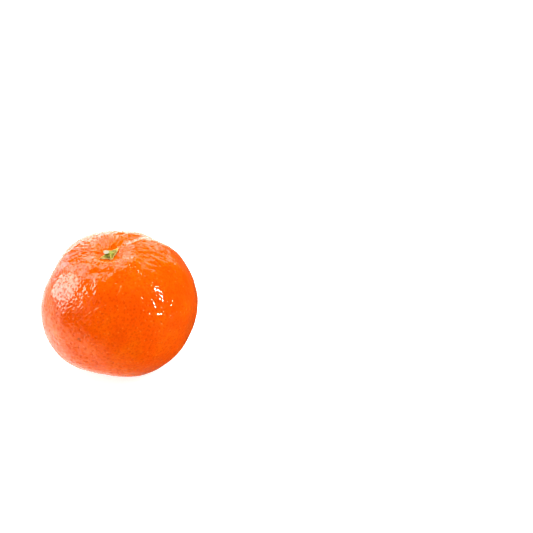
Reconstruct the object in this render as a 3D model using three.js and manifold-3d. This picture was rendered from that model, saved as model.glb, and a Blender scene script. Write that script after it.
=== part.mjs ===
// A whole mandarin, as picked: the fruit stands on its blossom end with the stem end up, and keeps
// its green calyx and the short stub of stem that the secateurs left.
// Millimetres, +Z up. The origin is on the resting surface, under the middle of the fruit. -Y is the
// side that faces the viewer, +X is to the viewer's right.

import * as THREE from 'three';
import { mergeVertices } from 'three/addons/utils/BufferGeometryUtils.js';
import Module from 'manifold-3d';

const wasm = await Module();
wasm.setup();

const { exp, sin, cos, abs, hypot, PI } = Math;
const radians = THREE.MathUtils.degToRad;
const smoothstep = THREE.MathUtils.smoothstep;

// ---- Fruit: the body under the relief ----

const FRUIT_WIDTH = 61.8;
const FRUIT_DEPTH = 60;
const FRUIT_HEIGHT = 53.6; // along the stem axis, before the hollow and the flat spot are taken off
const FULLNESS = 2.15; // 2 is an ellipsoid, more is fuller at the shoulders and the base
const STEM_LEAN = 4.5; // degrees that the fruit leans to the left where it stands
const SKIN_RADIUS = 30; // turns an angle at the middle of the fruit into a distance along its skin

const LEAN = new THREE.Quaternion().setFromAxisAngle( new THREE.Vector3( 0, 1, 0 ), - radians( STEM_LEAN ) );
const STEM_AXIS = new THREE.Vector3( 0, 0, 1 ).applyQuaternion( LEAN );

// Where it grew lopsided: the middle of each broad swelling, its spread in degrees and its height.
const SWELLINGS = [
	{ azimuth: 167, fromStem: 72, spread: 18, height: - 2.4 }, // a flatter left shoulder
	{ azimuth: 46, fromStem: 52, spread: 25, height: - 1.2 }, // and right shoulder, at the back
	{ azimuth: 306, fromStem: 134, spread: 25, height: 1.3 }, // fuller cheeks low at the front
	{ azimuth: 210, fromStem: 117, spread: 25, height: 1.0 },
];

// ---- Fruit: its relief, in millimetres ----

const HOLLOW_DEPTH = 2.3; // the hollow that the calyx sits in
const HOLLOW_WIDTH = 6.8;

// Creases that run out from the calyx: azimuth, depth, width and reach along the skin, and how far
// the crease has turned by the end of its reach.
const FURROWS = [
	{ azimuth: 57, depth: 1.3, width: 2.0, reach: 17, turn: - 4 },
	{ azimuth: 118, depth: 0.8, width: 3.2, reach: 17, turn: 8 },
	{ azimuth: 181, depth: 0.5, width: 2.6, reach: 18, turn: - 5 },
	{ azimuth: 236, depth: 0.3, width: 3.6, reach: 15, turn: 6 },
	{ azimuth: 284, depth: 0.4, width: 3.6, reach: 21, turn: - 8 },
	{ azimuth: 338, depth: 0.4, width: 3.0, reach: 19, turn: 7 },
];
const FURROW_START = 3.2; // the furrows open from under the calyx

const SEGMENTS = 11; // the segments inside lift the peel in faint ribs
const SEGMENT_RELIEF = 0.14;

// Lumps of the peel: size across and height, from the broad ones down to the pebbling.
const LUMPS = [
	{ size: 24, height: 0.3 },
	{ size: 8.5, height: 0.05 },
	{ size: 4.6, height: 0.02 },
];

// ---- Fruit: the blossom end that it stands on ----

const REST_CUT = 0.75; // how far the resting weight flattens the base
const SCAR_RADIUS = 2.6; // a small dimple with the scar of the style, inside the flat spot
const SCAR_DEPTH = 0.8;

const AROUND = 96;
const FROM_STEM_TO_BASE = 56;
const CROWDING = 0.3; // draws the rings towards the stem end, where the relief is finest

// ---- Calyx: five green lobes grown together round the stem ----

const CALYX_RADIUS = 2.4; // in the notches between the lobes
const LOBES = [
	{ azimuth: 50, length: 5.8 },
	{ azimuth: 115, length: 3.2 },
	{ azimuth: 221, length: 5.5 },
	{ azimuth: 285, length: 4.5 },
	{ azimuth: 10, length: 2.9 },
];
const LOBE_HALF_ANGLE = 44;
const LOBE_POINT = 1.25; // 1 has straight sides, more draws them in to a finer tip
const CALYX_EDGE = 0.6; // thickness at the edge
const CALYX_BOSS = 1.25; // thickness in the middle, where it grips the stem
const BOSS_RADIUS = 1.8;
const RIB_HEIGHT = 0.28; // each lobe has a raised midrib
const RIB_WIDTH = 0.45;
const RIB_FADE = 6; // how late the rib dies away on its run out to the tip
const CALYX_AROUND = 90;
const CALYX_RINGS = 14;

// ---- Stem: the stub left by the cut ----

const STEM_RADIUS = 1.22; // of its level cut end
const STEM_FOOT_RADIUS = 1.3;
const STEM_FLARE = 0.9; // length over which the foot narrows
const STEM_SET = 0.7; // height of the foot over the underside of the calyx
const STEM_LENGTH = 1.6; // down its middle, along the lean
const STEM_TILT = 60; // degrees from upright
const STEM_AZIMUTH = 208; // it leans to the left and a little to the front
const STEM_BEVEL = 0.14;
const STEM_FLUTES = 5;
const STEM_FLUTE_DEPTH = 0.06;
const STEM_AROUND = 30;

const CLEARANCE = 0.3; // between pieces that meet
const SOCKET_MARGIN = CLEARANCE / cos( radians( STEM_TILT ) ); // level, so wider than square to the lean

// A smooth field of humps and hollows, about 1 high, with a hump every 2 pi or so. Uneven waves bend
// it, so that it never repeats.
function humps( x, y, z ) {

	const a = x + 0.8 * sin( 0.63 * y + 1.3 );
	const b = y + 0.8 * sin( 0.71 * z + 4.1 );
	const c = z + 0.8 * sin( 0.57 * x + 2.2 );
	return ( sin( a ) * cos( b ) + sin( b ) * cos( c ) + sin( c ) * cos( a ) ) / 1.5;

}

// The angle between two azimuths in radians, from -PI to PI.
function turnBetween( from, to ) {

	return THREE.MathUtils.euclideanModulo( to - from + PI, 2 * PI ) - PI;

}

function furrowDepth( fromStem, azimuth ) {

	const opening = smoothstep( fromStem, 0, FURROW_START );
	let depth = 0;
	for ( const furrow of FURROWS ) {

		const along = fromStem / furrow.reach;
		const line = radians( furrow.azimuth + furrow.turn * along );
		const radius = SKIN_RADIUS * sin( fromStem / SKIN_RADIUS );
		const aside = radius * turnBetween( line, azimuth ) / furrow.width;
		depth += furrow.depth * opening * exp( - ( along ** 3 ) - aside ** 2 );

	}

	return depth;

}

function direction( polar, azimuth ) {

	return new THREE.Vector3( sin( polar ) * cos( azimuth ), sin( polar ) * sin( azimuth ), cos( polar ) );

}

// The point of the skin at an angle from the stem axis and an azimuth, measured from the middle of
// the fruit.
function skinPoint( polar, azimuth ) {

	const outward = direction( polar, azimuth );
	const across = sin( polar );
	const along = cos( polar );
	const girth = 1 / hypot( cos( azimuth ) * 2 / FRUIT_WIDTH, sin( azimuth ) * 2 / FRUIT_DEPTH );
	let body = ( ( across / girth ) ** FULLNESS
		+ ( abs( along ) * 2 / FRUIT_HEIGHT ) ** FULLNESS ) ** ( - 1 / FULLNESS );
	for ( const { azimuth: a, fromStem, spread, height } of SWELLINGS ) {

		const away = outward.angleTo( direction( radians( fromStem ), radians( a ) ) ) / radians( spread );
		body += height * exp( - ( away ** 2 ) );

	}

	const fromStem = polar * SKIN_RADIUS;
	let relief = - HOLLOW_DEPTH * exp( - ( ( fromStem / HOLLOW_WIDTH ) ** 2 ) );
	relief -= furrowDepth( fromStem, azimuth );
	relief += SEGMENT_RELIEF * cos( SEGMENTS * azimuth ) * across ** 2 * ( 1 + along ) / 2;
	for ( const { size, height } of LUMPS ) {

		const { x, y, z } = outward.clone().multiplyScalar( body * 2 * PI / size );
		relief += height * humps( x, y, z );

	}

	return outward.multiplyScalar( body + relief ).applyQuaternion( LEAN );

}

const REST_LEVEL = REST_CUT - FRUIT_HEIGHT / 2;
const SCAR_X = sin( radians( STEM_LEAN ) ) * FRUIT_HEIGHT / 2; // opposite the stem

// The base is pressed flat on the resting surface, round a dimple that holds the scar of the style.
function restOnBase( point ) {

	const fromScar = hypot( point.x - SCAR_X, point.y ) / SCAR_RADIUS;
	const dimple = point.z < 0 ? SCAR_DEPTH * ( 1 - smoothstep( fromScar, 0, 1 ) ) : 0;
	point.z = Math.max( point.z, REST_LEVEL ) + dimple;
	return point;

}

// A closed mesh from a sphere's grid: place( u, v ) gives the point for u round the sphere, from 0 to
// 1, and v from 0 at its top to 1 at its bottom.
function closedSurface( around, rings, place ) {

	const geometry = new THREE.SphereGeometry( 1, around, rings );
	const { position, uv } = geometry.attributes;
	for ( let i = 0; i < position.count; i ++ ) {

		const point = place( uv.getX( i ) % 1, 1 - uv.getY( i ) );
		position.setXYZ( i, point.x, point.y, point.z );

	}

	geometry.deleteAttribute( 'uv' );
	geometry.deleteAttribute( 'normal' );
	return mergeVertices( geometry, 1e-4 );

}

function fruitGeometry() {

	return closedSurface( AROUND, FROM_STEM_TO_BASE, ( u, v ) => {

		const polar = PI * v - CROWDING * sin( PI * v ) * ( 1 + cos( PI * v ) ) / 2;
		return restOnBase( skinPoint( polar, 2 * PI * u ) );

	} );

}

// How far the calyx reaches from its middle at an azimuth.
function calyxReach( azimuth ) {

	let reach = CALYX_RADIUS;
	for ( const lobe of LOBES ) {

		const aside = abs( turnBetween( radians( lobe.azimuth ), azimuth ) ) / radians( LOBE_HALF_ANGLE );
		if ( aside < 1 ) reach += ( lobe.length - CALYX_RADIUS ) * ( 1 - aside ) ** LOBE_POINT;

	}

	return reach;

}

function calyxRib( distance, azimuth ) {

	let height = 0;
	for ( const lobe of LOBES ) {

		const aside = distance * turnBetween( radians( lobe.azimuth ), azimuth ) / RIB_WIDTH;
		height += RIB_HEIGHT * exp( - ( aside ** 2 ) );

	}

	return height * smoothstep( distance, 0, BOSS_RADIUS );

}

// The calyx lies on the skin of the hollow: its underside follows it, and its upper side rises from
// a thin edge to the boss round the stem.
function calyxGeometry() {

	return closedSurface( CALYX_AROUND, CALYX_RINGS, ( u, v ) => {

		const azimuth = 2 * PI * u;
		const outward = 1 - abs( 1 - 2 * v );
		const reach = calyxReach( azimuth );
		const distance = outward * reach;
		const slope = 1 - smoothstep( distance, BOSS_RADIUS, reach );
		const edge = v === 0.5 ? CALYX_EDGE / 2 : CALYX_EDGE;
		const top = edge + ( CALYX_BOSS - CALYX_EDGE ) * slope + calyxRib( distance, azimuth ) * ( 1 - outward ** RIB_FADE );
		const point = skinPoint( distance / SKIN_RADIUS, azimuth );
		return point.addScaledVector( STEM_AXIS, CLEARANCE + ( v <= 0.5 ? top : 0 ) );

	} );

}

// The stub as a lathed rod with faint flutes. Grown by a margin, it is the tool that cuts its socket
// in the calyx.
function stemGeometry( margin ) {

	const radius = STEM_RADIUS + margin;
	const profile = [
		[ 0, - margin ],
		[ STEM_FOOT_RADIUS + margin, - margin ],
		[ radius, STEM_FLARE ],
		[ radius, STEM_LENGTH - STEM_BEVEL ],
		[ radius - STEM_BEVEL, STEM_LENGTH ],
		[ 0, STEM_LENGTH ],
	].map( ( [ r, h ] ) => new THREE.Vector2( r, h ) );
	const geometry = new THREE.LatheGeometry( profile, STEM_AROUND );
	const position = geometry.attributes.position;
	for ( let i = 0; i < position.count; i ++ ) {

		const [ x, y, z ] = [ position.getX( i ), position.getY( i ), position.getZ( i ) ];
		const flute = 1 - STEM_FLUTE_DEPTH * ( 1 + cos( STEM_FLUTES * Math.atan2( z, x ) ) ) / 2;
		position.setXYZ( i, x * flute, y, z * flute );

	}

	geometry.deleteAttribute( 'uv' );
	geometry.deleteAttribute( 'normal' );
	return mergeVertices( geometry, 1e-4 );

}

function solidOf( geometry ) {

	return new wasm.Manifold( new wasm.Mesh( {
		numProp: 3,
		vertProperties: geometry.attributes.position.array,
		triVerts: new Uint32Array( geometry.index.array ),
	} ) );

}

function geometryOf( solid ) {

	const { vertProperties, triVerts } = solid.getMesh();
	const geometry = new THREE.BufferGeometry();
	geometry.setAttribute( 'position', new THREE.BufferAttribute( vertProperties, 3 ) );
	geometry.setIndex( new THREE.BufferAttribute( triVerts, 1 ) );
	return geometry;

}

// The rod's foot is set in the boss of the calyx. Its Y runs along the lean, but its X and Z stay level,
// so the stub is a stack of level rounds and ends in a level cut.
function stemPlace() {

	const foot = skinPoint( 0, 0 ).addScaledVector( STEM_AXIS, CLEARANCE + STEM_SET );
	const azimuth = radians( STEM_AZIMUTH );
	const lean = direction( radians( STEM_TILT ), azimuth );
	const back = direction( PI / 2, azimuth + PI );
	const aside = direction( PI / 2, azimuth + PI / 2 );
	return new THREE.Matrix4().makeBasis( back, lean, aside ).setPosition( foot );

}

function piece( name, geometry, look ) {

	geometry.computeVertexNormals();
	const mesh = new THREE.Mesh( geometry, new THREE.MeshStandardMaterial( look ) );
	mesh.name = name;
	return mesh;

}

const fruit = piece( 'fruit', fruitGeometry(), { color: 0xf0560c, roughness: 0.36, metalness: 0 } );

const socket = solidOf( stemGeometry( SOCKET_MARGIN ).applyMatrix4( stemPlace() ) );
const calyxSolid = solidOf( calyxGeometry() ).subtract( socket );
const calyx = piece( 'calyx', geometryOf( calyxSolid ), { color: 0x6f8a2a, roughness: 0.6, metalness: 0 } );

const stem = piece( 'stem', stemGeometry( 0 ).applyMatrix4( stemPlace() ), { color: 0xd9d2a8, roughness: 0.8, metalness: 0 } );

// The fruit stands over the origin, with its flat spot at Z 0.
const standing = new THREE.Group();
standing.add( fruit, calyx, stem );
fruit.geometry.computeBoundingBox();
const middle = fruit.geometry.boundingBox.getCenter( new THREE.Vector3() );
standing.position.set( - middle.x, - middle.y, - REST_LEVEL );

const mandarin = new THREE.Group();
mandarin.add( standing );

export default mandarin;
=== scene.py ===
# A ripe mandarin, whole, as picked. It stands on its blossom end with the stem end up, and keeps
# its green calyx and the short stub of stem that the secateurs left.
# Metres, +Z up. -Y is the side that faces the viewer, +X is to the viewer's right. A fruit is
# measured in millimetres, so its forms are worked out in millimetres and turned into metres with
# their mesh. A place on it is given by its azimuth and its angle from the stem, both in degrees.

from math import pi, radians, sin, sqrt

import bpy
import numpy as np
from mathutils import Matrix, Quaternion, Vector
from mathutils.kdtree import KDTree


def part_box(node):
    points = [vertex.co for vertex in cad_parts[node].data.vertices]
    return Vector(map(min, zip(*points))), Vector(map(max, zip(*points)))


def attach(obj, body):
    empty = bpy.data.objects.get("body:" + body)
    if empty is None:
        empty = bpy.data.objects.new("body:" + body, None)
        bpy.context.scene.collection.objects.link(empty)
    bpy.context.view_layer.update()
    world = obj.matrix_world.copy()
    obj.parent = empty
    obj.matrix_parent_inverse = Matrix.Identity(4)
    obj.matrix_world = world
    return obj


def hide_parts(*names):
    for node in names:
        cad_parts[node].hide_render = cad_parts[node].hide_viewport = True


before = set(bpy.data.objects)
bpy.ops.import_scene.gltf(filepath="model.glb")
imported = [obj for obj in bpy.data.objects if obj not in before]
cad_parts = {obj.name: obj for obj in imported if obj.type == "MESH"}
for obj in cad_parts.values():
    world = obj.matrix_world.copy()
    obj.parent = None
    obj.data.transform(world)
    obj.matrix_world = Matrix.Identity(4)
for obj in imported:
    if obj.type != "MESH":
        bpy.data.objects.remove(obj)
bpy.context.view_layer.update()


# ---- The fruit ----
# The fruit in its peel: a waxy orange rind, pitted all over by its oil glands, loose enough to
# crease where it is drawn in round the stem. It stands on the spot that its own weight has
# flattened, and the scar of the style lies in a dimple inside that spot.

MM = 0.001

FRUIT_WIDTH = 61.8
FRUIT_DEPTH = 60
FRUIT_HEIGHT = 53.6
FULLNESS = 2.15
STEM_LEAN = 4.5
SKIN_RADIUS = 30  # turns an angle at the middle of the fruit into a distance along its skin

# Places where it grew lopsided: azimuth, angle from the stem, spread in degrees and height.
SWELLINGS = [(167, 72, 18, -2.4), (46, 52, 25, -1.2), (306, 134, 25, 1.3), (210, 117, 25, 1.0)]

HOLLOW_DEPTH = 2.3
HOLLOW_WIDTH = 6.8

# Creases round the calyx: azimuth, depth, width, reach, and turn in degrees on the way.
FURROWS = [
    (57, 1.3, 2.0, 17, -4),
    (118, 0.8, 3.2, 17, 8),
    (181, 0.5, 2.6, 18, -5),
    (236, 0.3, 3.6, 15, 6),
    (284, 0.4, 3.6, 21, -8),
    (338, 0.4, 3.0, 19, 7),
]
FURROW_START = 3.2
SEGMENTS = 11
SEGMENT_RELIEF = 0.14
LUMPS = [(24, 0.3), (8.5, 0.05), (4.6, 0.02)]  # size across and height

REST_CUT = 0.75
REST_LEVEL = REST_CUT - FRUIT_HEIGHT / 2
STYLE_SCAR_X = sin(radians(STEM_LEAN)) * FRUIT_HEIGHT / 2
STYLE_SCAR_RADIUS = 2.6
STYLE_SCAR_DEPTH = 0.8

LEAN = np.array(Matrix.Rotation(-radians(STEM_LEAN), 3, "Y"))
STEM_AXIS = LEAN @ (0, 0, 1)


def bell(distance):
    return np.exp(-(distance**2))


def ease(value, start, end):
    t = np.clip((value - start) / (end - start), 0, 1)
    return t * t * (3 - 2 * t)


def direction(polar, azimuth):
    """The way from the middle of the fruit at an angle from its stem and an azimuth round it."""
    across = np.sin(polar)
    return np.stack([across * np.cos(azimuth), across * np.sin(azimuth), np.cos(polar)], axis=-1)


def humps(points):
    """A smooth field of humps and hollows, about 1 high, with a hump every 2 pi or so."""
    x, y, z = np.moveaxis(points, -1, 0)
    a = x + 0.8 * np.sin(0.63 * y + 1.3)
    b = y + 0.8 * np.sin(0.71 * z + 4.1)
    c = z + 0.8 * np.sin(0.57 * x + 2.2)
    return (np.sin(a) * np.cos(b) + np.sin(b) * np.cos(c) + np.sin(c) * np.cos(a)) / 1.5


def turn_between(start, end):
    return (end - start + pi) % (2 * pi) - pi


def furrow_depth(from_stem, azimuth):
    """How deep the creases are at a distance from the stem along the skin, and an azimuth."""
    radius = SKIN_RADIUS * np.sin(from_stem / SKIN_RADIUS)
    depth = 0
    for heading, deepest, width, reach, turn in FURROWS:
        along = from_stem / reach
        line = np.radians(heading + turn * along)
        aside = radius * turn_between(line, azimuth) / width
        depth = depth + deepest * np.exp(-(along**3) - aside**2)
    return depth * ease(from_stem, 0, FURROW_START)


def skin(polar, azimuth, relief=0):
    """Points of the peel, from the middle of the fruit, with any finer relief added."""
    outward = direction(polar, azimuth)
    across = np.sin(polar)
    along = np.cos(polar)
    girth = 1 / np.hypot(np.cos(azimuth) * 2 / FRUIT_WIDTH, np.sin(azimuth) * 2 / FRUIT_DEPTH)
    rise = FRUIT_HEIGHT / 2
    body = ((across / girth) ** FULLNESS + (np.abs(along) / rise) ** FULLNESS) ** (-1 / FULLNESS)
    for heading, angle, spread, swell in SWELLINGS:
        middle = direction(radians(angle), radians(heading))
        away = np.arccos(np.clip(outward @ middle, -1, 1)) / radians(spread)
        body += swell * bell(away)
    from_stem = polar * SKIN_RADIUS
    relief = relief - HOLLOW_DEPTH * bell(from_stem / HOLLOW_WIDTH)
    relief -= furrow_depth(from_stem, azimuth)
    relief += SEGMENT_RELIEF * np.cos(SEGMENTS * azimuth) * across**2 * (1 + along) / 2
    for size, height in LUMPS:
        relief += height * humps(outward * body[..., None] * 2 * pi / size)
    return outward * (body + relief)[..., None] @ LEAN.T


def rest_on_base(points):
    """Presses the base flat on the ground, round the dimple of the style's scar."""
    from_scar = np.hypot(points[..., 0] - STYLE_SCAR_X, points[..., 1]) / STYLE_SCAR_RADIUS
    dimple = np.where(points[..., 2] < 0, STYLE_SCAR_DEPTH * (1 - ease(from_scar, 0, 1)), 0)
    points[..., 2] = np.maximum(points[..., 2], REST_LEVEL) + dimple
    return points


def ball(cells):
    """Directions spread evenly over a ball, from a cube's sides of that many cells each way."""
    ruler = np.tan(np.linspace(-pi / 4, pi / 4, cells + 1))
    u, v = np.meshgrid(ruler, ruler, indexing="ij")
    one = np.ones_like(u)
    sides = [(one, u, v), (-one, v, u), (v, one, u), (u, -one, v), (u, v, one), (v, u, -one)]
    corners = np.concatenate([np.stack(side, axis=-1).reshape(-1, 3) for side in sides])
    index = np.arange((cells + 1) ** 2).reshape(cells + 1, cells + 1)
    quads = np.stack([index[:-1, :-1], index[1:, :-1], index[1:, 1:], index[:-1, 1:]], axis=-1)
    faces = np.concatenate([quads.reshape(-1, 4) + side * index.size for side in range(len(sides))])
    _, first, shared = np.unique(corners.round(9), axis=0, return_index=True, return_inverse=True)
    corners = corners[first]
    return corners / np.linalg.norm(corners, axis=1, keepdims=True), shared.reshape(-1)[faces]


def make_mesh(name, points, faces, **marks):
    """A smooth mesh object, with each mark kept as a value on its points."""
    mesh = bpy.data.meshes.new(name)
    mesh.from_pydata((points * MM).tolist(), [], [list(map(int, face)) for face in faces])
    mesh.shade_smooth()
    for mark, values in marks.items():
        attribute = mesh.attributes.new(mark, "FLOAT", "POINT")
        attribute.data.foreach_set("value", values.astype("f"))
    piece = bpy.data.objects.new(name, mesh)
    bpy.context.collection.objects.link(piece)
    return piece


# The oil glands: each leaves a small round pit in the peel, about 1.5 mm from the next.
PEEL_CELLS = 128
GLANDS = 5000
GLAND_SCATTER = 0.36  # how far each one strays from an even spread, in spacings
GLAND_RADIUS = (0.42, 0.72)
MOSTLY_SMALL = 1.6  # bias to the smaller ones
GLAND_DEPTH = (0.12, 0.45)  # of a pit, in its radii
MOSTLY_SHALLOW = 3  # bias to the shallower ones
GRAIN = [(2.4, 0.012), (1.3, 0.010)]  # size across and height of the finest lumps
GOLDEN_TURN = pi * (3 - sqrt(5))

# Places where the fine lumps stand higher: azimuth, angle from the stem, spread, and how much.
COARSE = [
    (110, 35, 40, 3.0),
    (218, 66, 12, 2.5),
    (242, 44, 20, 1.5),
    (246, 50, 13, 8.0),
    (305, 21, 9, 5.0),
]
SMOOTHEST = 0.4

# Wrinkles run out from the calyx: their azimuth, spread, reach, width, length and height. They
# are long and wavy on the right and behind, and short pleats all round the calyx itself.
WRINKLES = [
    (8, 30, (8, 26), 3.2, 9.0, 0.24),
    (110, 80, (4, 22), 2.4, 8.0, 0.24),
    (0, 400, (3, 9), 1.8, 5.0, 0.22),
]
WRINKLE_WANDER = 1.2

# Low ridges and dents round the stem: the places that each runs through, its width and height.
RIDGES = [
    ([(228, 13), (250, 12.5), (270, 13.5)], 2.2, 0.5),
    ([(244, 27), (254, 31), (258, 36), (258, 41)], 1.2, 0.2),
    ([(240, 31), (250, 28), (262, 27), (275, 27.5), (285, 25.5), (298, 24)], 1.4, 0.16),
    ([(292, 19), (312, 19), (330, 17)], 3.4, 0.5),
    ([(345, 24), (330, 24), (318, 25.5), (306, 30)], 2.2, 0.45),
    ([(250, 26.5), (264, 26.5)], 3.2, -0.7),
    ([(120, 9.5), (160, 12), (184, 13.5), (215, 12.5), (245, 9.5)], 0.8, 0.14),
]
RIDGE_UNEVENNESS = 0.5

# Rubbed lines in the peel: the places that each runs through, its width and height. Their pale
# colour is partly the scuffed peel and partly a painted highlight along them.
RUBS = [
    ([(268, 49.8), (256, 54.1), (244.5, 63.5)], 0.42, 0.13),
    ([(287.5, 37.2), (284.5, 40.5), (280.5, 43.4)], 0.5, 0.15),
]
RUB_UNEVENNESS = 0.3

BLEMISH = (244.9, 78.3)  # one brown speck
BLEMISH_RADIUS = 1.2
STYLE_STAIN_RADIUS = 0.9
STEM_END_RADIUS = 15  # of the yellower peel round the stem


def gland_places(random):
    number = np.arange(GLANDS)
    spread = np.sqrt(4 * pi / GLANDS) * GLAND_SCATTER
    polar = np.arccos(1 - 2 * (number + 0.5) / GLANDS)
    places = direction(polar, number * GOLDEN_TURN)
    places += spread * random.uniform(-1, 1, (3, GLANDS)).T
    return places / np.linalg.norm(places, axis=1, keepdims=True)


def gland_sizes(random, ends, bias):
    """A size for each gland between two ends, the nearer the first end the greater the bias."""
    return ends[0] + (ends[1] - ends[0]) * random.random(GLANDS) ** bias


def from_line(outward, stops):
    """Distance along the skin from a line through places on it."""
    ends = direction(*np.radians([stops]).T[::-1])[:, 0]
    nearest = np.full(len(outward), np.inf)
    for start, end in zip(ends[:-1], ends[1:]):
        way = end - start
        along = np.clip((outward - start) @ way / (way @ way), 0, 1)
        from_part = np.linalg.norm(outward - start - along[:, None] * way, axis=1)
        nearest = np.minimum(nearest, from_part)
    return nearest * SKIN_RADIUS


outward, fruit_faces = ball(PEEL_CELLS)
polar = np.arccos(np.clip(outward[:, 2], -1, 1))
azimuth = np.arctan2(outward[:, 1], outward[:, 0])
from_stem = polar * SKIN_RADIUS
random = np.random.default_rng(11)

glands = gland_places(random)
gland_radius = gland_sizes(random, GLAND_RADIUS, MOSTLY_SMALL)
gland_depth = gland_radius * gland_sizes(random, GLAND_DEPTH, MOSTLY_SHALLOW)
gland_tree = KDTree(GLANDS)
for number, place in enumerate(glands):
    gland_tree.insert(place, number)
gland_tree.balance()
found = [gland_tree.find(place) for place in outward]
nearest = np.array([number for _, number, _ in found])
from_gland = np.array([distance for _, _, distance in found]) * SKIN_RADIUS
from_gland /= gland_radius[nearest]
fine_relief = -gland_depth[nearest] * np.clip(1 - from_gland**2, 0, 1) ** 2

# A slow wander keeps the folds and the ridges from running straight and even.
wander = humps(outward * 13) + 0.5 * humps(outward * 29 + 5)
for heading, spread, (near, far), width, length, height in WRINKLES:
    turn = turn_between(radians(heading), azimuth)
    middle = (near + far) / 2
    within = bell(turn / radians(spread)) * bell((from_stem - middle) / (far - near) * 2)
    folds = np.stack([turn * middle / width, from_stem / length, turn * 0], axis=-1) * 2 * pi
    fine_relief += height * within * humps(folds + WRINKLE_WANDER * wander[:, None])

coarseness = SMOOTHEST
for heading, angle, spread, more in COARSE:
    middle = direction(radians(angle), radians(heading))
    away = np.arccos(np.clip(outward @ middle, -1, 1))
    coarseness = coarseness + more * bell(away / radians(spread))
for size, height in GRAIN:
    fine_relief += height * coarseness * humps(outward * SKIN_RADIUS * 2 * pi / size)

for stops, width, height in RIDGES:
    ridge = bell(from_line(outward, stops) / width)
    fine_relief += height * ridge * (1 + RIDGE_UNEVENNESS * wander)

rubbed = 0
for stops, width, height in RUBS:
    line = bell(from_line(outward, stops) / width)
    line *= 1 - RUB_UNEVENNESS + RUB_UNEVENNESS * humps(outward * 60)
    fine_relief += height * line
    rubbed = np.maximum(rubbed, line)

skin_points = rest_on_base(skin(polar, azimuth, fine_relief))
low, high = np.array(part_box("fruit")) / MM
settle = (low + high) / 2 - (skin_points.min(axis=0) + skin_points.max(axis=0)) / 2
settle[2] = low[2] - REST_LEVEL

blemish_place = direction(*np.radians(BLEMISH)[::-1])
from_blemish = np.linalg.norm(outward - blemish_place, axis=1) * SKIN_RADIUS
from_style = np.hypot(skin_points[:, 0] - STYLE_SCAR_X, skin_points[:, 1])
fruit = make_mesh(
    "mandarin_peel",
    skin_points + settle,
    fruit_faces,
    from_gland=from_gland,
    rub=np.clip(rubbed, 0, 1),
    blemish=bell(from_blemish / BLEMISH_RADIUS),
    style_scar=np.where(skin_points[:, 2] < 0, bell(from_style / STYLE_STAIN_RADIUS), 0),
    stem_end=bell(from_stem / STEM_END_RADIUS),
)


# Places of a Mix node's sockets for colours: three that go in, and the one that comes out.
MIX_AMOUNT = 0
MIX_FROM = 6
MIX_TO = 7
MIXED = 2


class Socket:
    """An output of a material's nodes. Sums on it add the nodes that work them out."""

    def __init__(self, tree, socket=None):
        self.tree = tree
        self.socket = socket

    def node(self, kind, settings=None, inputs=None, output=0):
        """Adds a node: its settings are made first, then its sockets are filled or linked."""
        node = self.tree.nodes.new(kind)
        for name, value in (settings or {}).items():
            setattr(node, name, value)
        for name, value in (inputs or {}).items():
            if isinstance(value, Socket):
                self.tree.links.new(value.socket, node.inputs[name])
            else:
                node.inputs[name].default_value = value
        return Socket(self.tree, node.outputs[output])

    def maths(self, operation, *values):
        return self.node("ShaderNodeMath", {"operation": operation}, dict(enumerate(values)))

    def __add__(self, other):
        return self.maths("ADD", self, other)

    __radd__ = __add__

    def __sub__(self, other):
        return self.maths("SUBTRACT", self, other)

    def __rsub__(self, other):
        return self.maths("SUBTRACT", other, self)

    def __mul__(self, other):
        return self.maths("MULTIPLY", self, other)

    __rmul__ = __mul__

    def between(self, start, end):
        """0 up to start, 1 from end on, and smooth between them."""
        return self.node(
            "ShaderNodeMapRange",
            {"interpolation_type": "SMOOTHSTEP"},
            {"Value": self, "From Min": start, "From Max": end},
        )

    def colour(self, colour):
        """A colour that is the same all over, to start from."""
        plain = self.node("ShaderNodeRGB")
        plain.socket.default_value = (*colour, 1)
        return plain

    def mix(self, colour, amount):
        """This colour turned towards another by an amount."""
        colour = colour if isinstance(colour, Socket) else (*colour, 1)
        inputs = {MIX_AMOUNT: amount, MIX_FROM: self, MIX_TO: colour}
        return self.node("ShaderNodeMix", {"data_type": "RGBA"}, inputs, MIXED)

    def mark(self, name):
        """A value kept on the points of the mesh."""
        return self.node("ShaderNodeAttribute", {"attribute_name": name}, output="Fac")

    def scattered(self, kind, size, **inputs):
        """A pattern of patches or cells of that size in millimetres."""
        place = self.node("ShaderNodeTexCoord", output="Object")
        return self.node(kind, inputs={"Vector": place, "Scale": 1 / (size * MM), **inputs})

    def noise(self, size, detail):
        """Soft random mottling."""
        return self.scattered("ShaderNodeTexNoise", size, Detail=detail, Roughness=0.55)

    def cells(self, size):
        """Distance from the middles of scattered cells, 0 to about 1."""
        return self.scattered("ShaderNodeTexVoronoi", size)


def start_material(piece, name):
    material = bpy.data.materials.new(name)
    material.use_nodes = True
    piece.data.materials.append(material)
    return Socket(material.node_tree)


def finish(piece, constants, **varying):
    """Fills the shader of a piece: constants on its own sockets, what varies by a link."""
    tree = piece.data.materials[0].node_tree
    shader = tree.nodes["Principled BSDF"]
    for socket, value in constants.items():
        shader.inputs[socket].default_value = value
    for socket, value in varying.items():
        tree.links.new(value.socket, shader.inputs[socket.replace("_", " ")])


def bumps(height):
    """The normal of a surface roughened by a height in millimetres."""
    inputs = {"Height": height, "Distance": MM}
    return height.node("ShaderNodeBump", inputs=inputs, output="Normal")


ORANGE = (0.86, 0.140, 0.001)
WARM_ORANGE = (0.87, 0.170, 0.001)
YELLOW_ORANGE = (0.90, 0.190, 0.001)
RED_ORANGE = (0.77, 0.113, 0.001)
PIT_ORANGE = (0.60, 0.083, 0.001)
PALE_ORANGE = (0.92, 0.27, 0.06)
PALE_RUB_AND_SHEEN = (0.98, 0.38, 0.16)
SPECK_BROWN = (0.20, 0.085, 0.012)

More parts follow.
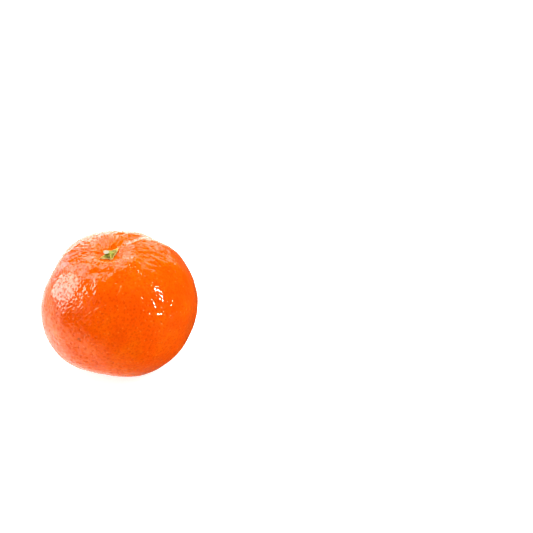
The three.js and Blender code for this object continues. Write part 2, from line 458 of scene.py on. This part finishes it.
MOTTLE_SIZE = 9
GRAIN_SIZE = 1.6
LARGE_PIT_SIZE = 1.5
SMALL_PIT_SIZE = 0.75
PAINTED_GLINT_SIZE = 2.1

peel = start_material(fruit, "waxy_orange_peel")
mottle = peel.noise(MOTTLE_SIZE, 4)
grain = peel.noise(GRAIN_SIZE, 3)
large_pits = peel.cells(LARGE_PIT_SIZE).between(0.46, 0.2)
small_pits = peel.cells(SMALL_PIT_SIZE).between(0.40, 0.10)
# Scattered pale dots on the peel: painted glints, small highlights of the lamps painted into its
# colour.
painted_glint_dots = peel.cells(PAINTED_GLINT_SIZE).between(0.24, 0.1)
gland_pits = peel.mark("from_gland").between(0.95, 0.35)
speck = (peel.mark("blemish") + grain - 0.5).between(0.5, 1.2)
peel_colour = peel.colour(ORANGE)
peel_colour = peel_colour.mix(WARM_ORANGE, mottle.between(0.45, 0.72))
peel_colour = peel_colour.mix(RED_ORANGE, mottle.between(0.52, 0.25) * 0.6)
peel_colour = peel_colour.mix(YELLOW_ORANGE, peel.mark("stem_end") * 0.8)
peel_colour = peel_colour.mix(PALE_ORANGE, grain.between(0.5, 0.75) * 0.12)
peel_colour = peel_colour.mix(PALE_ORANGE, painted_glint_dots * 0.4)
peel_colour = peel_colour.mix(PIT_ORANGE, small_pits * 0.25)
peel_colour = peel_colour.mix(PIT_ORANGE, large_pits * 0.32)
peel_colour = peel_colour.mix(PIT_ORANGE, gland_pits * 0.3)
# The rubbed lines are painted pale: partly a scuff in the peel, partly painted sheen of the lamps
# along them.
peel_colour = peel_colour.mix(PALE_RUB_AND_SHEEN, peel.mark("rub").between(0.3, 0.9) * 0.8)
peel_colour = peel_colour.mix(SPECK_BROWN, speck * 0.75)
peel_colour = peel_colour.mix(SPECK_BROWN, peel.mark("style_scar").between(0.3, 0.8))
finish(
    fruit,
    {
        "Roughness": 0.6,
        "Specular IOR Level": 0.0,
        "Coat Roughness": 0.06,
        "Subsurface Weight": 0.12,
        "Subsurface Radius": (1.0, 0.3, 0.05),
        "Subsurface Scale": 0.0015,
    },
    Base_Color=peel_colour,
    Coat_Weight=(1 - large_pits * 0.6) * (1 - small_pits * 0.3),
)
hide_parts("fruit")
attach(fruit, "root")


# ---- The calyx ----
# Five green sepals grown together into a small star, thick in the middle, where they hold the
# stem, and thin and dry at the tips. It is leathery and ribbed, and lies in the hollow of the peel.

CALYX_RADIUS = 2.4
LOBES = [(50, 5.8), (115, 3.2), (221, 5.5), (285, 4.5), (10, 2.9)]  # azimuth and length
LOBE_HALF_ANGLE = 44
LOBE_POINT = 1.25
CALYX_EDGE = 0.6
CALYX_BOSS = 1.25
BOSS_RADIUS = 1.8
RIM_THINNING = 0.75
RIB_HEIGHT = 0.28
RIB_WIDTH = 0.45
SIDE_RIB_HEIGHT = 0.35 * RIB_HEIGHT
SIDE_RIB_WIDTH = 0.22
SIDE_RIB_SPLAY = 0.34  # from the middle rib, for its distance out
CALYX_WOBBLE = 0.05
TIP_YELLOWING = (2.852, 5.06)  # how far out the lobes begin to turn yellow, and have turned
CLEARANCE = 0.3  # that the solids keep, and that the real pieces don't have
UNDERSIDE_DEPTH = 0.25  # how far the middle of its underside is sunk in the peel
UNDERSIDE_RISE = 0.3

CALYX_AROUND = 300
CALYX_TOP_RINGS = 44
CALYX_UNDER_RINGS = 16
INNERMOST = 0.02  # of the way out, for the first ring and the last
RIM_TURN = 0.99  # of the way out, for the first ring of the underside


def closed_rings(rings):
    """Points and faces of a closed skin through rings of points, each end drawn in to a point."""
    count, around = rings.shape[:2]
    index = np.arange(count * around).reshape(count, around)
    after = np.roll(index, -1, axis=1)
    quads = np.stack([index[:-1], index[1:], after[1:], after[:-1]], axis=-1)
    faces = list(quads.reshape(-1, 4))
    first = count * around
    last = first + 1
    faces += [(first, a, b) for a, b in zip(index[0], after[0])]
    faces += [(last, b, a) for a, b in zip(index[-1], after[-1])]
    ends = [rings[0].mean(axis=0), rings[-1].mean(axis=0)]
    return np.concatenate([rings.reshape(-1, 3), ends]), faces


def on_points(values, rings):
    """A value for each point of a closed skin through those rings, its two end points included."""
    values = np.broadcast_to(values, rings.shape[:2])
    return np.concatenate([values.ravel(), [values[0].mean(), values[-1].mean()]])


def calyx_reach(azimuth):
    """How far out the calyx reaches at an azimuth: its lobes and their slightly ragged edge."""
    reach = CALYX_RADIUS
    for heading, length in LOBES:
        aside = np.abs(turn_between(radians(heading), azimuth)) / radians(LOBE_HALF_ANGLE)
        reach = reach + (length - CALYX_RADIUS) * np.clip(1 - aside, 0, 1) ** LOBE_POINT
    return reach * (1 + 0.03 * np.sin(azimuth * 17) + 0.02 * np.sin(azimuth * 41 + 1))


def calyx_ribs(distance, azimuth):
    """A rib down the middle of each lobe, with a lower one that splays from it on each side."""
    height = 0
    for heading, _ in LOBES:
        aside = distance * turn_between(radians(heading), azimuth)
        from_side_rib = np.abs(aside) - SIDE_RIB_SPLAY * distance
        height = height + RIB_HEIGHT * bell(aside / RIB_WIDTH)
        height = height + SIDE_RIB_HEIGHT * bell(from_side_rib / SIDE_RIB_WIDTH)
    return height * ease(distance, 0, BOSS_RADIUS)


calyx_azimuth = np.linspace(0, 2 * pi, CALYX_AROUND, endpoint=False)[None, :]
reach = calyx_reach(calyx_azimuth)
out_on_top = np.linspace(INNERMOST, 1, CALYX_TOP_RINGS)
back_underneath = np.linspace(RIM_TURN, INNERMOST, CALYX_UNDER_RINGS)
outwards = np.concatenate([out_on_top, back_underneath])[:, None]
on_top = (np.arange(len(outwards)) < CALYX_TOP_RINGS)[:, None]
from_middle = outwards * reach
slope = 1 - ease(from_middle, BOSS_RADIUS, reach)
ribs = calyx_ribs(from_middle, calyx_azimuth) * (1 - outwards**6)
thickness = CALYX_EDGE * (1 - RIM_THINNING * outwards**8)
thickness = thickness + (CALYX_BOSS - CALYX_EDGE) * slope + ribs
bed = skin(from_middle / SKIN_RADIUS, calyx_azimuth)
upper = CLEARANCE + thickness + CALYX_WOBBLE * humps(bed * 2.3)
lift = np.where(on_top, upper, -UNDERSIDE_DEPTH + UNDERSIDE_RISE * outwards**4)
calyx_rings = bed + lift[..., None] * STEM_AXIS
calyx_points, calyx_faces = closed_rings(calyx_rings)
calyx = make_mesh(
    "calyx_star",
    calyx_points + settle,
    calyx_faces,
    tip=on_points(ease(from_middle, *TIP_YELLOWING), calyx_rings),
    rib=on_points(ribs / RIB_HEIGHT, calyx_rings),
    rim=on_points(outwards**8, calyx_rings),
)

LEAF_GREEN = (0.27, 0.27, 0.015)
DEEP_GREEN = (0.11, 0.11, 0.003)
RIB_YELLOW = (0.52, 0.42, 0.07)
TIP_YELLOW = (0.85, 0.56, 0.13)
PAINTED_RIM_HIGHLIGHT = (0.62, 0.55, 0.22)

PATCH_SIZE = 1.3
FIBRE_SIZE = 0.25
FIBRE_RELIEF = 0.08

sepals = start_material(calyx, "green_sepals")
patches = sepals.noise(PATCH_SIZE, 4)
fibres = sepals.noise(FIBRE_SIZE, 3)
shaded = (patches + sepals.mark("rib") * 0.3).between(0.6, 0.35)
ribbed = (sepals.mark("rib") * 0.8 + fibres * 0.3).between(0.25, 0.85)
# The pale rim all round the calyx is a painted highlight of its lit edge.
painted_rim_highlight = (sepals.mark("rim") + patches - 0.5).between(0.3, 0.8)
sepal_colour = sepals.colour(LEAF_GREEN)
sepal_colour = sepal_colour.mix(DEEP_GREEN, shaded * 0.8)
sepal_colour = sepal_colour.mix(RIB_YELLOW, ribbed)
sepal_colour = sepal_colour.mix(TIP_YELLOW, sepals.mark("tip") * 0.75)
sepal_colour = sepal_colour.mix(PAINTED_RIM_HIGHLIGHT, painted_rim_highlight)
finish(
    calyx,
    {"Subsurface Weight": 0.1, "Subsurface Scale": 0.0005},
    Base_Color=sepal_colour,
    Roughness=0.5 + fibres * 0.2,
    Normal=bumps(fibres * FIBRE_RELIEF),
)
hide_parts("calyx")
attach(calyx, "root")


# ---- The stub of stem ----
# A woody stub no longer than it is wide, left by the level cut that took the fruit off its leaning
# twig. Its cut end is pale and fresh, round a greenish pith, and its side has the thin green-brown
# bark. Its foot is grown into the boss of the calyx.

STEM_RADIUS = 1.22
STEM_FOOT_RADIUS = 1.3
STEM_FLARE = 0.9
STEM_SET = 0.7
STEM_LENGTH = 1.6
STEM_TILT = 60
STEM_AZIMUTH = 208
STEM_BEVEL = 0.14
STEM_FLUTES = 5
STEM_FLUTE_DEPTH = 0.06
STEM_ROOT = 0.5  # how far its foot goes on inside the calyx
STEM_ROOT_END = 0.2  # radius to which it is drawn in there
CUT_ROUGHNESS = 0.03
NEAR_CUT = 0.8  # of its length, from where the cut leaves it rough

STEM_AROUND = 96
CUT_RINGS = 14
SIDE_RINGS = 12

stem_foot = skin(np.array([0.0]), np.array([0.0]))[0] + STEM_AXIS * (CLEARANCE + STEM_SET)
stem_axis = direction(radians(STEM_TILT), radians(STEM_AZIMUTH))
level_back = direction(pi / 2, radians(STEM_AZIMUTH + 180))
level_aside = direction(pi / 2, radians(STEM_AZIMUTH + 90))

# Down the stub from the middle of its cut end: radius and height of each ring. Every ring is level.
cut_radius = STEM_RADIUS - STEM_BEVEL
end_rings = [(r * cut_radius, STEM_LENGTH) for r in np.linspace(0.06, 1, CUT_RINGS)]
side_heights = np.linspace(STEM_LENGTH - STEM_BEVEL, STEM_FLARE, SIDE_RINGS)
side_rings = [(STEM_RADIUS, height) for height in side_heights]
foot_rings = [(STEM_FOOT_RADIUS, 0), (STEM_FOOT_RADIUS, -STEM_ROOT), (STEM_ROOT_END, -STEM_ROOT)]
profile = np.array(end_rings + side_rings + foot_rings)
around = np.linspace(0, 2 * pi, STEM_AROUND, endpoint=False)[None, :]
height = profile[:, 1:]
radius = profile[:, :1] * (1 - STEM_FLUTE_DEPTH * (1 + np.cos(STEM_FLUTES * around)) / 2)
rod = np.broadcast_arrays(radius * np.sin(around), height, radius * np.cos(around))
rod = np.stack(rod, axis=-1)
rod[:, :, 1] += CUT_ROUGHNESS * humps(rod * 5) * (height > STEM_LENGTH * NEAR_CUT)
rod = rod @ np.stack([level_back, stem_axis, level_aside]) + stem_foot
stem_points, stem_faces = closed_rings(rod)
on_cut_end = (np.arange(len(profile)) < len(end_rings))[:, None].astype(float)
stem = make_mesh(
    "stem_stub",
    stem_points + settle,
    stem_faces,
    from_pith=on_points(profile[:, :1] / STEM_RADIUS, rod),
    cut=on_points(on_cut_end, rod),
)

FRESH_WOOD = (0.51, 0.45, 0.33)
WARM_WOOD = (0.62, 0.52, 0.34)
PITH_GREEN = (0.44, 0.48, 0.28)
BARK = (0.30, 0.30, 0.06)
BARK_GREEN = (0.42, 0.50, 0.09)

STREAK_SIZE = 0.35
STREAK_RELIEF = 0.06

wood = start_material(stem, "fresh_cut_twig")
streaks = wood.noise(STREAK_SIZE, 4)
bark_colour = wood.colour(BARK).mix(BARK_GREEN, streaks.between(0.35, 0.65))
wood_colour = wood.colour(FRESH_WOOD)
wood_colour = wood_colour.mix(PITH_GREEN, wood.mark("from_pith").between(0.4, 0.1) * 0.6)
wood_colour = wood_colour.mix(WARM_WOOD, streaks.between(0.45, 0.7) * 0.4)
wood_colour = wood_colour.mix(bark_colour, (1 - wood.mark("cut")).between(0.2, 0.8))
finish(
    stem,
    {},
    Base_Color=wood_colour,
    Roughness=0.65 + streaks * 0.2,
    Normal=bumps(streaks * STREAK_RELIEF),
)
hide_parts("stem")
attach(stem, "root")


# ---- The table, the lights and the camera ----
# A white table, bright enough to leave no more than a breath of shadow. The peel mirrors a softbox
# and its glow on the left, a narrow strip on the right, a small lamp above and three pale panels
# behind. The plain light comes from a key above the right side and fills on the left and behind.

TABLE_HALF = 3  # metres
TABLE_WHITE = 0.8
TABLE_GREY = 0.04  # as the peel mirrors it where a card hides the white
TABLE_GLOW = 0.2
SEEN_GLOW = 0.32  # added for the camera
MIRRORED_GLOW = 0.6  # in the shine of the peel, where no card hides the white

# Grey cards on the right and in front keep the white of the table out of the shine of the peel.
# The one on the right has a soft edge, and the one in front leaves less and less white, the nearer
# to it. Their headings are azimuths, and their distances run from the middle of the fruit.
RIGHT_CARD = -10
RIGHT_CARD_EDGE = (-12, 32)
FRONT_CARD = -60
FRONT_CARD_START = 16
FRONT_CARD_FALL = 24

corners = [(x * TABLE_HALF, y * TABLE_HALF, 0) for x, y in ((-1, -1), (1, -1), (1, 1), (-1, 1))]
table_mesh = bpy.data.meshes.new("white_table")
table_mesh.from_pydata(corners, [], [(0, 1, 2, 3)])
table = bpy.data.objects.new("white_table", table_mesh)
bpy.context.collection.objects.link(table)
sheet = start_material(table, "white_table")
place = sheet.node("ShaderNodeTexCoord", output="Object")


def out_towards(heading):
    """How far out a place on the table lies towards a heading."""
    inputs = {0: place, 1: tuple(direction(pi / 2, radians(heading)))}
    return sheet.node("ShaderNodeVectorMath", {"operation": "DOT_PRODUCT"}, inputs, "Value")


near, far = RIGHT_CARD_EDGE
whiteness = out_towards(RIGHT_CARD).between(far * MM, near * MM)
past_start = sheet.maths("MAXIMUM", out_towards(FRONT_CARD) - FRONT_CARD_START * MM, 0)
whiteness *= sheet.maths("DIVIDE", FRONT_CARD_FALL * MM, past_start + FRONT_CARD_FALL * MM)
seen = sheet.node("ShaderNodeLightPath", output="Is Camera Ray")
mirrored = sheet.node("ShaderNodeLightPath", output="Is Glossy Ray")
mirrored_glow = mirrored * (whiteness * MIRRORED_GLOW - TABLE_GLOW)
finish(
    table,
    {"Roughness": 0.6, "Specular IOR Level": 0.2, "Emission Strength": 1.0},
    Base_Color=TABLE_WHITE - mirrored * (1 - whiteness) * (TABLE_WHITE - TABLE_GREY),
    Emission_Color=seen * SEEN_GLOW + mirrored_glow + TABLE_GLOW,
)

WHITE = (1, 1, 1)
PALE_PINK = (1, 0.93, 1.18)

fruit_middle = (Vector(low) + Vector(high)) / 2 * MM


def add_panel(
    name,
    azimuth,
    elevation,
    distance,
    size,
    brightness,
    lights=True,
    mirrored=True,
    tint=WHITE,
    roll=0,
):
    """A flat light that faces the fruit, as bright as so many times a white sheet. Its size and
    its distance are in metres. It either lights the fruit, or is mirrored by it, or does both."""
    light = bpy.data.lights.new(name, "AREA")
    light.shape = "RECTANGLE"
    light.size, light.size_y = size
    light.energy = brightness * pi * size[0] * size[1]
    light.color = tint
    towards = Vector(direction(radians(90 - elevation), radians(azimuth)))
    facing = towards.to_track_quat("Z", "Y") @ Quaternion((0, 0, 1), radians(roll))
    lamp = bpy.data.objects.new(name, light)
    lamp.location = fruit_middle + towards * distance
    lamp.rotation_euler = facing.to_euler()
    lamp.visible_camera = False
    lamp.visible_diffuse = lights
    lamp.visible_glossy = mirrored
    bpy.context.collection.objects.link(lamp)


add_panel("softbox", 171, 26, 0.7, (0.32, 0.50), 6.0, lights=False)
add_panel("softbox_glow", 171, 22, 0.72, (0.54, 0.74), 1.3, lights=False, tint=PALE_PINK)
add_panel("softbox_spill", 218, 30, 0.7, (0.44, 0.44), 0.6, lights=False, tint=PALE_PINK)
add_panel("strip", -18, 29, 0.7, (0.026, 0.46), 85, lights=False, roll=-22)
for side, heading, brightness in (("right", 68, 1.5), ("middle", 103, 2.7), ("left", 138, 3.3)):
    name = "back_panel_" + side
    add_panel(name, heading, 27, 1.0, (0.36, 1.5), brightness, lights=False, tint=PALE_PINK)
add_panel("top_lamp", 62, 77, 0.7, (0.04, 0.08), 24, lights=False)
add_panel("left_light", 195, 22, 0.7, (0.5, 0.5), 1.1, mirrored=False)
add_panel("back_light", 85, 27, 1.0, (1.1, 1.5), 1.6, mirrored=False)
add_panel("key", -10, 62, 0.9, (0.8, 0.8), 2.4, mirrored=False)

# The room is bright white to the camera, lights the fruit softly from all sides, and is all but
# dark in its shine.
ROOM_LIGHT = 0.4
SEEN_ROOM = 1.0
MIRRORED_ROOM = 0.05

world = bpy.data.worlds.new("studio")
world.use_nodes = True
bpy.context.scene.world = world
room = Socket(world.node_tree)
seen = room.node("ShaderNodeLightPath", output="Is Camera Ray")
mirrored = room.node("ShaderNodeLightPath", output="Is Glossy Ray")
strength = seen * (SEEN_ROOM - ROOM_LIGHT) - mirrored * (ROOM_LIGHT - MIRRORED_ROOM) + ROOM_LIGHT
background = world.node_tree.nodes["Background"]
world.node_tree.links.new(strength.socket, background.inputs["Strength"])
background.inputs["Color"].default_value = (*WHITE, 1)

FRAME_PIXELS = 533
FOCAL_PIXELS = 1515
FRUIT_MIDDLE_PIXEL = (120.1, 301.6)
CAMERA_DISTANCE = 0.6
CAMERA_ELEVATION = 41

camera = bpy.data.objects.new("camera", bpy.data.cameras.new("camera"))
bpy.context.collection.objects.link(camera)
camera.data.sensor_width = 36
camera.data.lens = camera.data.sensor_width * FOCAL_PIXELS / FRAME_PIXELS
camera.data.clip_end = 10
camera.rotation_euler = (radians(90 - CAMERA_ELEVATION), 0, 0)
right, up, back = camera.rotation_euler.to_matrix().transposed()
aside = (FRUIT_MIDDLE_PIXEL[0] - FRAME_PIXELS / 2) / FOCAL_PIXELS
above = (FRAME_PIXELS / 2 - FRUIT_MIDDLE_PIXEL[1]) / FOCAL_PIXELS
camera.location = fruit_middle + CAMERA_DISTANCE * (back - aside * right - above * up)
bpy.context.scene.camera = camera
bpy.context.scene.view_settings.view_transform = "Standard"
bpy.context.scene.view_settings.look = "High Contrast"
